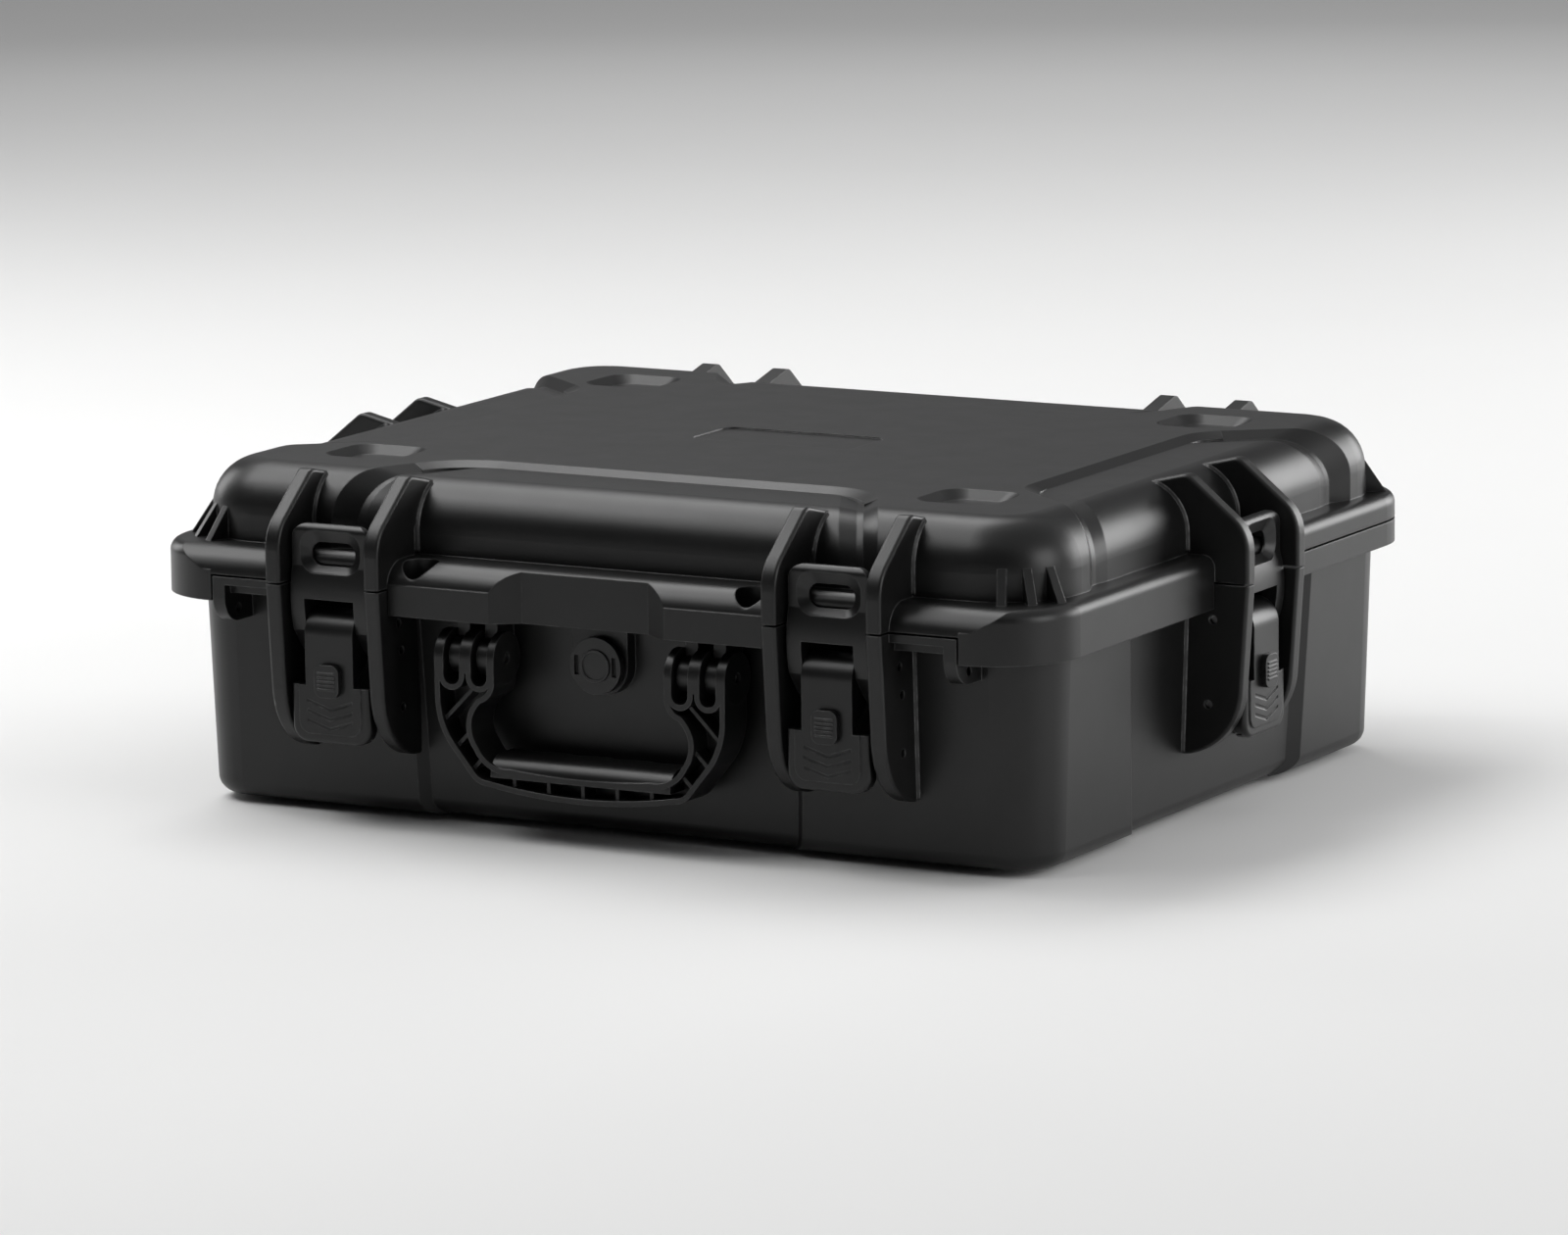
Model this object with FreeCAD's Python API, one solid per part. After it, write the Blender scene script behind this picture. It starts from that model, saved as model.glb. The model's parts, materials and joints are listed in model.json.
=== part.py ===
import FreeCAD, Part
import math
import os

from FreeCAD import Vector

# Equipment case: two moulded shells, a rear hinge, four over-centre latches, a folding handle and a
# pressure valve. Millimetres, +X to the right, +Y to the rear, +Z up. Heights are counted from the
# underside of the base, and the whole case is lifted onto its feet at the end.

# Working values
overrun = 40.0              # how far a cutting body runs past what it cuts
bond = 2.0                  # how deep a rib or fin sinks into the wall that carries it
pin_play = 0.05             # radial play of a pin in its hole
side_play = 0.4             # between pieces that swing beside each other
parting_gap = 1.0           # visible gap between the two rims

# Shell walls, at the parting plane
wall_half_length = 225.0
wall_half_width = 182.5
base_corner_radius = 28.0
end_recess = 4.0            # the middle of each end wall lies this far in
front_recess = 4.5          # the middle of the front and rear walls lies this far in
base_lean = 4.0             # how far a base wall leans in from rim to underside
wall = 4.0
floor_thickness = 4.0
parting_height = 110.0
base_edge_radius = 8.0
base_front_step = 100.0     # where the front wall steps out, from the middle plane
base_end_step = 88.0        # where the end wall steps out, from the middle plane
base_end_step_run = 8.0     # length of that step along the wall

# Lid
lid_height = 48.0           # plateau above the parting plane
strip_depth = 2.6           # the four strips of the roof lie this far below the plateau
strip_slope_run = 6.6       # width of the sloped edge of a strip
lid_corner_radius = 38.0
lid_edge_radius = 23.0
lid_inner_radius = 20.0
end_strip_edge = 172.0      # foot of the slope at the strip of each end, along X
end_strip_half = 86.9       # half width of that strip at its inner edge
end_strip_mouth = 124.9     # half width of that strip where it meets the end wall
end_strip_round = 20.0      # rounding of that strip's corners in plan
front_strip_edge = 126.8    # the same for the front and rear strips, along Y
front_strip_half = 106.6
front_strip_mouth = 133.0
front_strip_round = 34.0
groove_depth = 1.2          # groove along both ends of a strip
groove_floor = 3.0          # width of the groove's floor
groove_reach = 11.0         # width of the groove
groove_lead = 8.0           # the groove starts this far inside the strip's corner
socket_x = 156.3            # stacking sockets and feet
socket_y = 120.8
socket_length = 40.0
socket_width = 39.0
socket_corner_radius = 10.0
socket_depth = 4.0
socket_slope_run = 5.0
foot_height = 3.0
foot_play = 1.5             # a foot is this much smaller than a socket, all round
foot_corner = 7.0           # cut corner of a foot
foot_seat = 1.5             # depth of a foot's pocket in the floor
plate_half_length = 43.0    # bare nameplate recess
plate_front = 25.0
plate_rear = 14.0
plate_corner_radius = 7.0
plate_depth = 0.8

# Rims
end_rim_reach = 10.0        # rim beyond the walls at the ends, at the front and at the rear
front_rim_reach = 23.0
rear_rim_reach = 13.5
rim_corner_radius = 40.0
lid_rim_height = 12.5       # lid rim above the parting plane
rim_edge_radius = 5.5
rim_nose_radius = 13.0      # rounding along the front of the lid rim
base_rim_depth = 11.5       # base rim below the parting plane
thin_rim_depth = 3.8        # base rim between front latch and corner skirt
inner_rim_depth = 8.0       # base rim hidden behind the skirts
skirt_depth = 12.0          # lid skirt below the parting plane
skirt_wall = 4.0
skirt_gap = 1.0
skirt_end = 195.0           # inner end of a corner skirt on the front, along X
slot_rim_reach = 4.5        # rim left behind a latch, from the latch wall
bib_recess = 8.5            # finger recess in the front skirt
bib_recess_half = 33.0
bib_recess_flare = 13.0
rim_rib_thickness = 6.5     # hooked rib beside each corner skirt
rim_rib_depth = 22.0
rim_rib_radius = 12.0
rim_rib_hole_radius = 2.2
padlock_offset = 12.6       # padlock hole from the face of the inner fin
padlock_inset = 10.0        # padlock hole from the front of the rim
padlock_radius = 3.5
padlock_scoop_radius = 8.5
padlock_floor = 2.5         # scoop floor above the parting plane

# Seal
seal_width = 4.5
seal_inset = 1.5            # from the cavity to the groove
seal_groove_depth = 6.0
seal_play = 0.1
tongue_width = 2.3
tongue_rise = 3.0           # from the base rim

# Corner gussets on the lid rim
gusset_thickness = 4.2
gusset_height = 15.0
gusset_reach = 10.0
gusset_angles = (31.0, 48.0, 65.0)

# Latch fins. Depth is counted inwards from the front edge of a fin.
fin_reach = 31.0            # from the latch wall to the front edge of the fin
fin_thickness = 7.9
fin_edge_radius = 1.6
latch_gap = 45.0            # clear width between two fins
latch_offset = 130.0        # front latches from the middle plane
lid_fin_knee_share = 0.51   # height of the knee as a share of the lid's height
lid_fin_knee_radius = 19.0
lid_fin_top_radius = 6.0
lid_fin_rise = 1.5          # fin top above the plateau
lid_fin_back = 48.0         # depth of the rear end of the fin's top
base_fin_length = 80.0      # down from the base's rim
base_fin_knee_drop = 49.5
base_fin_knee_depth = 3.6
base_fin_belly_share = 0.213  # depth and height shares of the curve between knee and bottom
base_fin_belly_height_share = 0.42
strike_depth = 18.5         # bar that the claw pulls on
strike_rise = 9.5           # above the parting plane
strike_radius = 5.0

# Latch pivots
pin_radius = 2.0
pin_end_inset = 2.6         # pin ends lie this far below the outer fin face
lever_pin_depth = 17.8
lever_pin_drop = 17.0       # below the parting plane
claw_pin_depth = 20.0
claw_pin_drop = 13.0        # below the lever's pin
catch_pin_depth = 20.5
catch_pin_drop = 39.5       # below the lever's pin

# Lever
lever_front = 5.5
lever_skin = 4.0
paddle_half_width = 21.0
paddle_drop = 30.0          # top of the paddle below the lever's pin
paddle_length = 27.0
paddle_corner_radius = 8.0
paddle_edge_radius = 2.0
paddle_border = 4.4         # the middle of the paddle stands proud of this border
paddle_step = 0.7
paddle_skirt_depth = 7.0
neck_half_width = 12.8
neck_shoulder_drop = 7.0    # the neck starts to curl this far below its pin
neck_eye_radius = 4.8
neck_curl_radius = 11.5
cheek_thickness = 4.0
cheek_foot_rise = 3.0       # above the paddle
chevron_width = 1.4
chevron_depth = 0.5
chevron_half_length = 12.0
chevron_drop = 3.8
chevron_pitch = 4.6
chevron_count = 3

# Claw
claw_half_width = 20.5
claw_brow = 8.5             # claw above its window
claw_front = 8.5
claw_belly = 6.3            # depth of the front where it bulges most
claw_bar_drop = 15.0        # lower edge of the claw's bar below the window
claw_back = 12.8
claw_leg_back = 14.6
claw_leg_bend_rise = 8.0    # above the claw's pin
claw_eye_radius = 5.5
claw_corner_radius = 7.0
claw_top_radius = 3.6
window_half_width = 11.6
window_rise = 8.0           # above the parting plane
window_height = 11.0
window_radius = 5.0
window_flare = 4.6          # the window widens by this much at the front face
window_flare_top = 6.0
window_flare_bottom = 3.0
hook_depth = 21.0
hook_thickness = 5.0
hook_gap = 0.6

# Slide lock on the lever
button_half_width = 6.5
button_drop = 19.5          # top of the button below the lever's pin
button_length = 15.5
button_height = 2.8
button_corner_radius = 4.0
button_ridge_height = 0.5
button_ridge_width = 1.0
button_ridge_count = 5
button_travel = 4.0
button_play = 0.15
button_stem_half_width = 3.0
button_stem_length = 6.0
button_key_half_width = 5.0
button_key_thickness = 2.0
lock_arm_drop = 9.0         # below the catch pin
lock_arm_thickness = 2.4
lock_lip_gap = 1.0

# Handle
handle_half_width = 76.0
handle_gap_half = 44.5
handle_pivot_reach = 14.0   # from the recessed wall to the pivot
handle_pivot_drop = 21.0    # below the hidden rim
handle_knuckle_radius = 12.0
handle_drop = 62.2          # from the pivot to the lowest point
handle_rim = 2.6
handle_pocket_depth = 13.0
handle_pocket_drop = 6.5    # from the pivot
handle_pocket_side = 6.0
handle_rib_thickness = 1.8
handle_rib_count = 5
handle_rib_pitch = 18.0
handle_brace_angle = 45.0
handle_brace_count = 3
handle_brace_start_share = 0.6
handle_brace_drop = 16.5    # from the pivot
grip_half_length = 47.0
grip_rise = 8.7             # above the handle's lowest point
grip_height = 10.0
grip_depth = 20.0
grip_round = 9.0
grip_scallop_radius = 16.0
grip_scallop_depth = 1.6
grip_scallop_pitch = 22.0
grip_scallop_count = 4
lug_thickness = 6.4
lug_slot_play = 1.0
lug_inner = 52.5            # middle of the inner lug, from the middle plane
lug_outer = 67.0
lug_radius = 8.5
lug_slot_drop = 12.0        # slot floor below the pivot
handle_pin_radius = 2.5
handle_pin_inset = 2.0
# Edges of the handle from the right knuckle to the middle, as shares of half width and drop. Each step is
# the middle of an arc, or None for a straight stretch, and the step's end.
handle_outer_shares = ((None, (0.997, 0.411)), ((0.974, 0.559), (0.908, 0.694)), (None, (0.763, 0.876)),
                       ((0.717, 0.920), (0.645, 0.941)))
handle_inner_shares = ((None, (0.586, 0.303)), ((0.612, 0.377), (0.678, 0.4245)),
                       ((0.747, 0.553), (0.704, 0.701)),
                       ((0.648, 0.775), (0.487, 0.8235)))

# Pressure valve
valve_drop = 22.0           # below the hidden rim
valve_radius = 13.2
valve_thickness = 3.5
valve_pad_half = 14.5
valve_pad_reach = 6.0       # from the recessed wall
valve_slot_inset = 2.2
valve_slot_width = 2.4
valve_slot_half_length = 4.5
valve_slot_depth = 1.8
valve_slot_count = 2
valve_stem_radius = 7.0
valve_cap_radius = 7.6
valve_cap_rise = 0.9
valve_cap_depth = 2.0
valve_cap_dish = 0.7
valve_cap_rim = 1.2
valve_seal_thickness = 1.0
valve_seal_rim = 1.5
valve_nut_radius = 11.5
valve_nut_thickness = 5.0
valve_nut_sides = 6

# Rear hinge
hinge_offset = 127.0
hinge_knuckle_radius = 8.0
hinge_fin_offset = 20.0     # lid fins from the middle of a hinge
hinge_pin_radius = 3.0
hinge_ear_length = 69.5     # down from the base's rim
hinge_ear_foot_depth = 20.0

# Sizes that follow from the others
base_top = parting_height - parting_gap / 2
lid_bottom = parting_height + parting_gap / 2
plateau_height = parting_height + lid_height
strip_height = plateau_height - strip_depth
lid_fin_knee = parting_height + lid_height * lid_fin_knee_share
lid_fin_top = plateau_height + lid_fin_rise
base_fin_bottom = base_top - base_fin_length
base_fin_knee = base_top - base_fin_knee_drop
hinge_ear_bottom = base_top - hinge_ear_length
hidden_rim_bottom = base_top - inner_rim_depth
rim_half_length = wall_half_length + end_rim_reach
rim_front = wall_half_width + front_rim_reach
rim_rear = wall_half_width + rear_rim_reach
end_wall = wall_half_length - end_recess
front_wall = wall_half_width - front_recess
cavity_half_length = end_wall - wall
cavity_half_width = front_wall - wall
cavity_corner_radius = base_corner_radius - wall
front_fin_line = wall_half_width + fin_reach
end_fin_line = end_wall + fin_reach
half_gap = latch_gap / 2
fin_outer = half_gap + fin_thickness
skirt_bottom = parting_height - skirt_depth
handle_pivot_y = -(front_wall + handle_pivot_reach)
handle_front = handle_pivot_y - handle_knuckle_radius
hinge_axis_y = front_fin_line - hinge_knuckle_radius
lever_back = lever_front + lever_skin
roof_under = strip_height - wall
strike_height = parting_height + strike_rise
lever_pin_height = parting_height - lever_pin_drop
claw_pin_height = lever_pin_height - claw_pin_drop
catch_pin_height = lever_pin_height - catch_pin_drop
paddle_top = lever_pin_height - paddle_drop
paddle_bottom = paddle_top - paddle_length
neck_shoulder = lever_pin_height - neck_shoulder_drop
cheek_foot = paddle_top + cheek_foot_rise
window_bottom = parting_height + window_rise
window_top = window_bottom + window_height
claw_top = window_top + claw_brow
claw_bar_bottom = window_bottom - claw_bar_drop
claw_leg_bend = claw_pin_height + claw_leg_bend_rise
button_top = lever_pin_height - button_drop
button_bottom = button_top - button_length
lock_arm_bottom = catch_pin_height - lock_arm_drop
handle_pivot_height = hidden_rim_bottom - handle_pivot_drop
handle_bottom = handle_pivot_height - handle_drop
handle_pocket_top = handle_pivot_height - handle_pocket_drop
handle_brace_top = handle_pivot_height - handle_brace_drop
grip_bottom = handle_bottom + grip_rise
lug_slot_half = lug_thickness / 2 + lug_slot_play
lug_slot_floor = handle_pivot_height - lug_slot_drop
valve_height = hidden_rim_bottom - valve_drop
latch_places = {
    "front_left": (Vector(-latch_offset, -front_fin_line, 0), 0.0),
    "front_right": (Vector(latch_offset, -front_fin_line, 0), 0.0),
    "right": (Vector(end_fin_line, 0, 0), 90.0),
    "left": (Vector(-end_fin_line, 0, 0), -90.0),
}


# Shape helpers

def box(x0, x1, y0, y1, z0, z1):
    return Part.makeBox(x1 - x0, y1 - y0, z1 - z0, Vector(x0, y0, z0))


def rod_x(radius, x0, x1, y, z):
    return Part.makeCylinder(radius, x1 - x0, Vector(x0, y, z), Vector(1, 0, 0))


def rod_y(radius, y0, y1, x, z):
    return Part.makeCylinder(radius, y1 - y0, Vector(x, y0, z), Vector(0, 1, 0))


def rod_z(radius, z0, z1, x, y):
    return Part.makeCylinder(radius, z1 - z0, Vector(x, y, z0), Vector(0, 0, 1))


def fused(shapes):
    first, *rest = shapes
    return first.multiFuse(rest).removeSplitter() if rest else first


def softened(points):
    """Turns each corner that carries a radius as its third value into an arc between its two sides."""
    steps = []
    for i, point in enumerate(points):
        if len(point) == 2:
            steps.append(point)
            continue
        radius = point[2]
        corner = Vector(point[0], point[1], 0)
        following = points[(i + 1) % len(points)]
        before = (Vector(points[i - 1][0], points[i - 1][1], 0) - corner).normalize()
        after = (Vector(following[0], following[1], 0) - corner).normalize()
        half_angle = before.getAngle(after) / 2
        start = corner + before * (radius / math.tan(half_angle))
        end = corner + after * (radius / math.tan(half_angle))
        middle = corner + (before + after).normalize() * (radius / math.sin(half_angle) - radius)
        steps.append((start.x, start.y))
        steps.append(((middle.x, middle.y), (end.x, end.y)))
    return steps


def path_wire(points, to_space):
    """Closed outline: a plain point ends a straight stretch, a pair of points is an arc's middle and end."""
    edges = []
    steps = softened(points)
    here = to_space(steps[0])
    for step in steps[1:] + steps[:1]:
        if isinstance(step[0], tuple):
            middle = to_space(step[0])
            there = to_space(step[1])
            edges.append(Part.Arc(here, middle, there).toShape())
        else:
            there = to_space(step)
            if there.distanceToPoint(here) > pin_play:
                edges.append(Part.makeLine(here, there))
        here = there
    return Part.Wire(edges)


def side_prism(points, x0, x1):
    """Outline in depth and height, drawn out along X."""
    wire = path_wire(points, lambda p: Vector(x0, p[0], p[1]))
    return Part.Face(wire).extrude(Vector(x1 - x0, 0, 0))


def plan_prism(points, z0, z1):
    """Outline in plan, drawn out upwards."""
    wire = path_wire(points, lambda p: Vector(p[0], p[1], z0))
    return Part.Face(wire).extrude(Vector(0, 0, z1 - z0))


def rounded_wire(x0, x1, y0, y1, radius, z):
    """Rectangle in plan with rounded corners."""
    corners = ((x1 - radius, y0 + radius, -90), (x1 - radius, y1 - radius, 0),
               (x0 + radius, y1 - radius, 90), (x0 + radius, y0 + radius, 180))
    arcs = []
    for x, y, start in corners:
        circle = Part.Circle(Vector(x, y, z), Vector(0, 0, 1), radius)
        arcs.append(circle.toShape(math.radians(start), math.radians(start + 90)))
    edges = []
    for arc, following in zip(arcs, arcs[1:] + arcs[:1]):
        edges.append(arc)
        edges.append(Part.makeLine(arc.valueAt(arc.LastParameter),
                                   following.valueAt(following.FirstParameter)))
    return Part.Wire(edges)


def front_wire(x0, x1, z0, z1, radius, depth):
    """Rounded rectangle that faces the front."""
    wire = rounded_wire(x0, x1, z0, z1, radius, 0)
    wire.rotate(Vector(0, 0, 0), Vector(1, 0, 0), 90)
    wire.translate(Vector(0, depth, 0))
    return wire


def front_block(x0, x1, z0, z1, radius, y0, y1):
    return Part.Face(front_wire(x0, x1, z0, z1, radius, y0)).extrude(Vector(0, y1 - y0, 0))


def rounded_block(x0, x1, y0, y1, radius, z0, z1):
    return Part.Face(rounded_wire(x0, x1, y0, y1, radius, z0)).extrude(Vector(0, 0, z1 - z0))


def centred_block(half_x, half_y, radius, z0, z1):
    return rounded_block(-half_x, half_x, -half_y, half_y, radius, z0, z1)


def leaning_block(half_x, half_y, radius, lean, z0, z1):
    """Rounded block whose foot is smaller all round by the lean."""
    foot = rounded_wire(lean - half_x, half_x - lean, lean - half_y, half_y - lean, radius - lean, z0)
    head = rounded_wire(-half_x, half_x, -half_y, half_y, radius, z1)
    return Part.makeLoft([foot, head], True, True)


def flat_edges(shape, z):
    return [e for e in shape.Edges if all(abs(v.Z - z) < pin_play for v in e.Vertexes)]


def depth_edges(shape, z):
    """Edges at the given height that run straight along Y."""
    return [e for e in flat_edges(shape, z) if abs(e.tangentAt(e.FirstParameter).y) > 1 - 1e-6]


def in_four_corners(shape):
    """The shape of the first quadrant, mirrored into the other three."""
    across = shape.mirror(Vector(0, 0, 0), Vector(1, 0, 0))
    pair = [shape, across]
    return pair + [s.mirror(Vector(0, 0, 0), Vector(0, 1, 0)) for s in pair]


def both_sides(shape):
    return [shape, shape.mirror(Vector(0, 0, 0), Vector(1, 0, 0))]


def at_latch(shape, place):
    """Moves a shape from the latch's own frame, depth along +Y, to its place on the case."""
    origin, turn = latch_places[place]
    moved = shape.copy()
    moved.rotate(Vector(0, 0, 0), Vector(0, 0, 1), turn)
    moved.translate(origin)
    return moved


def at_every_latch(shape):
    return [at_latch(shape, place) for place in latch_places]


# Rim outlines shared by both shells

def rim_block(inset, z0, z1):
    half = rim_half_length - inset
    return rounded_block(-half, half, inset - rim_front, rim_rear - inset, rim_corner_radius - inset, z0,
                         z1)


def bib_recess_block(grow, z0, z1):
    """Finger recess in the middle of the front rim, larger by the given growth."""
    inner = bib_recess_half + grow
    outer = inner + bib_recess_flare
    deep = bib_recess - rim_front + grow
    points = ((-outer, -rim_front), (-outer, -rim_front - overrun), (outer, -rim_front - overrun),
              (outer, -rim_front), (inner, deep), (-inner, deep))
    return plan_prism(points, z0, z1)


def latch_slots(z0, z1):
    """Clear space between each pair of fins, down to the short rim behind the latch."""
    slot = box(-half_gap, half_gap, -overrun, fin_reach - slot_rim_reach, z0, z1)
    return at_every_latch(slot)


def padlock_x():
    return latch_offset - fin_outer - padlock_offset


def padlock_y():
    return padlock_inset - rim_front


# Fins

def on_fin_front(edge):
    """Tells the front edges of a fin from its root, its cross edges and its end at the parting plane."""
    depths = [v.Y for v in edge.Vertexes]
    widths = [v.X for v in edge.Vertexes]
    at_parting = all(abs(v.Z - parting_height) < parting_gap for v in edge.Vertexes)
    return min(depths) < fin_reach - pin_play and max(widths) - min(widths) < pin_play and not at_parting


def fin_pair(points):
    """Two fins with rounded front edges, either side of a latch."""
    fin = side_prism(points, half_gap, fin_outer)
    return both_sides(fin.makeFillet(fin_edge_radius, [e for e in fin.Edges if on_fin_front(e)]))


def lid_fin_points():
    root = fin_reach + bond
    return ((0, lid_bottom), (0, lid_fin_knee, lid_fin_knee_radius),
            (fin_reach, lid_fin_top, lid_fin_top_radius),
            (lid_fin_back, strip_height),
            (lid_fin_back + lid_edge_radius / 3, roof_under + bond),
            (fin_reach + lid_edge_radius / 2, plateau_height - lid_edge_radius / 2),
            (root, plateau_height - lid_edge_radius), (root, lid_bottom))


def base_fin_points():
    root = fin_reach + base_lean + bond
    belly = (fin_reach * base_fin_belly_share + base_fin_knee_depth,
             base_fin_bottom + (base_fin_knee - base_fin_bottom) * base_fin_belly_height_share)
    return ((0, base_top), (base_fin_knee_depth, base_fin_knee), (belly, (fin_reach, base_fin_bottom)),
            (root, base_fin_bottom), (fin_reach + bond, base_top))


def strike_bar():
    return rod_x(strike_radius, -half_gap - bond, half_gap + bond, strike_depth, strike_height)


def pin_holes(shape):
    """Cuts the fins' holes for the latch pins; only the front fins are bored for fitting the claw's pin."""
    lever_hole = rod_x(pin_radius + pin_play, -fin_outer - bond, fin_outer + bond, lever_pin_depth,
                       lever_pin_height)
    catch_hole = rod_x(pin_radius + pin_play, -fin_outer - bond, fin_outer + bond, catch_pin_depth,
                       catch_pin_height)
    claw_hole = rod_x(pin_radius + pin_play, -fin_outer - bond, fin_outer + bond, claw_pin_depth,
                      claw_pin_height)
    cuts = at_every_latch(lever_hole) + at_every_latch(catch_hole)
    cuts += [at_latch(claw_hole, place) for place in ("front_left", "front_right")]
    return shape.cut(Part.makeCompound(cuts))


# Base shell

def base_corner_column():
    points = ((base_front_step - 2 * front_recess, front_wall - 2 * front_recess),
              (base_front_step + front_recess, wall_half_width),
              (base_front_step + front_recess, wall_half_width + overrun),
              (wall_half_length + overrun, wall_half_width + overrun),
              (wall_half_length + overrun, base_end_step + base_end_step_run),
              (wall_half_length, base_end_step + base_end_step_run),
              (end_wall - 2 * end_recess, base_end_step - 2 * base_end_step_run))
    return plan_prism(points, -overrun, base_top + overrun)


def base_body():
    corner_form = leaning_block(wall_half_length, wall_half_width, base_corner_radius, base_lean, 0,
                                base_top)
    middle_form = leaning_block(end_wall, front_wall, base_corner_radius, base_lean, 0, base_top)
    corner_form = corner_form.makeFillet(base_edge_radius, flat_edges(corner_form, 0))
    middle_form = middle_form.makeFillet(base_edge_radius, flat_edges(middle_form, 0))
    columns = Part.makeCompound(in_four_corners(base_corner_column()))
    return fused([middle_form, corner_form.common(columns)])


def base_rim():
    hidden = rim_block(skirt_wall + skirt_gap, hidden_rim_bottom, base_top)
    hidden = hidden.cut(bib_recess_block(skirt_wall + skirt_gap, -overrun, base_top + overrun))
    full = rim_block(0, base_top - base_rim_depth + parting_gap / 2, base_top)
    behind = box(-rim_half_length - overrun, rim_half_length + overrun, fin_outer - bond,
                 rim_rear + overrun,
                 0, base_top)
    thin = rim_block(0, base_top - thin_rim_depth, base_top)
    shelf = box(latch_offset + fin_outer - bond, skirt_end - skirt_gap, -rim_front, -front_wall, 0,
                base_top)
    return fused([hidden, full.common(behind)] + [thin.common(s) for s in both_sides(shelf)])


def rim_rib():
    """Hooked rib under the thin front rim, with its small hole."""
    outer = skirt_end - skirt_gap
    low = base_top - rim_rib_depth
    corner = rim_rib_radius * (1 - math.sqrt(0.5))
    points = ((-rim_front, base_top), (-rim_front, low + rim_rib_radius),
              ((-rim_front + corner, low + corner), (-rim_front + rim_rib_radius, low)),
              (bond - wall_half_width, low), (bond - wall_half_width, base_top))
    rib = side_prism(points, outer - rim_rib_thickness, outer)
    hole = rod_x(rim_rib_hole_radius, outer - rim_rib_thickness - bond, outer + bond,
                 -rim_front + rim_rib_radius, low + rim_rib_radius / 2)
    return rib.cut(hole)


def handle_lug(middle):
    """Flat lug that carries the handle's pin, rooted in the front wall."""
    reach = handle_pivot_y - lug_radius
    low = handle_pivot_height - lug_radius
    points = ((handle_pivot_y, low), ((reach, handle_pivot_height),
                                      (handle_pivot_y, handle_pivot_height + lug_radius)),
              (handle_pivot_y, hidden_rim_bottom + bond), (bond - front_wall, hidden_rim_bottom + bond),
              (bond - front_wall, low))
    return side_prism(points, middle - lug_thickness / 2, middle + lug_thickness / 2)


def valve_pad():
    front = -(front_wall + valve_pad_reach)
    disc = rod_y(valve_pad_half, front, bond - front_wall, 0, valve_height)
    stem = box(-valve_pad_half, valve_pad_half, front, bond - front_wall, valve_height,
               hidden_rim_bottom + bond)
    return fused([disc, stem])


def foot_wire(x, y, inset, z):
    """Rectangle with cut corners, smaller than a foot by the inset."""
    half_x = socket_length / 2 - foot_play - inset
    half_y = socket_width / 2 - foot_play - inset
    cut = foot_corner - inset / 2
    corners = ((half_x, cut - half_y), (half_x, half_y - cut), (half_x - cut, half_y),
               (cut - half_x, half_y),
               (-half_x, half_y - cut), (-half_x, cut - half_y), (cut - half_x, -half_y),
               (half_x - cut, -half_y))
    places = [Vector(x + dx, y + dy, z) for dx, dy in corners]
    return Part.makePolygon(places + places[:1])


def foot(x, y):
    """Pad with a tapering tread, sunk into the floor."""
    tread = Part.makeLoft([foot_wire(x, y, socket_slope_run, -foot_height), foot_wire(x, y, 0, 0)], True,
                          True)
    plug = Part.Face(foot_wire(x, y, 0, 0)).extrude(Vector(0, 0, foot_seat))
    return fused([tread, plug])


def foot_pocket(x, y):
    return Part.Face(foot_wire(x, y, -pin_play,
                               -foot_height)).extrude(Vector(0, 0, foot_height + foot_seat))


def hinge_pin_hole(middle):
    return rod_x(hinge_pin_radius + pin_play, middle - hinge_fin_offset - overrun,
                 middle + hinge_fin_offset + overrun,
                 hinge_axis_y, parting_height)


def base_hinge_ear(x0):
    """Ear outside a lid fin, running down the rear wall as a tapering fin."""
    inside = wall_half_width - bond
    points = ((inside, base_top), (hinge_axis_y, base_top), (front_fin_line, parting_height),
              (front_fin_line, parting_height - hinge_knuckle_radius),
              (wall_half_width + hinge_ear_foot_depth / 2, hinge_ear_bottom),
              (inside - base_lean, hinge_ear_bottom))
    ear = side_prism(points, x0, x0 + fin_thickness)
    knuckle = rod_x(hinge_knuckle_radius, x0, x0 + fin_thickness, hinge_axis_y, parting_height)
    return fused([ear, knuckle])


def hinge_ear_starts(middle):
    near = hinge_fin_offset + fin_thickness / 2 + side_play
    return (middle - near - fin_thickness, middle + near)


def tongue():
    half_x = cavity_half_length + seal_inset + seal_width / 2
    half_y = cavity_half_width + seal_inset + seal_width / 2
    radius = cavity_corner_radius + seal_inset + seal_width / 2
    half = tongue_width / 2
    ring = centred_block(half_x + half, half_y + half, radius + half, base_top - bond,
                         base_top + tongue_rise)
    return ring.cut(centred_block(half_x - half, half_y - half, radius - half, 0, base_top + overrun))


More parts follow.
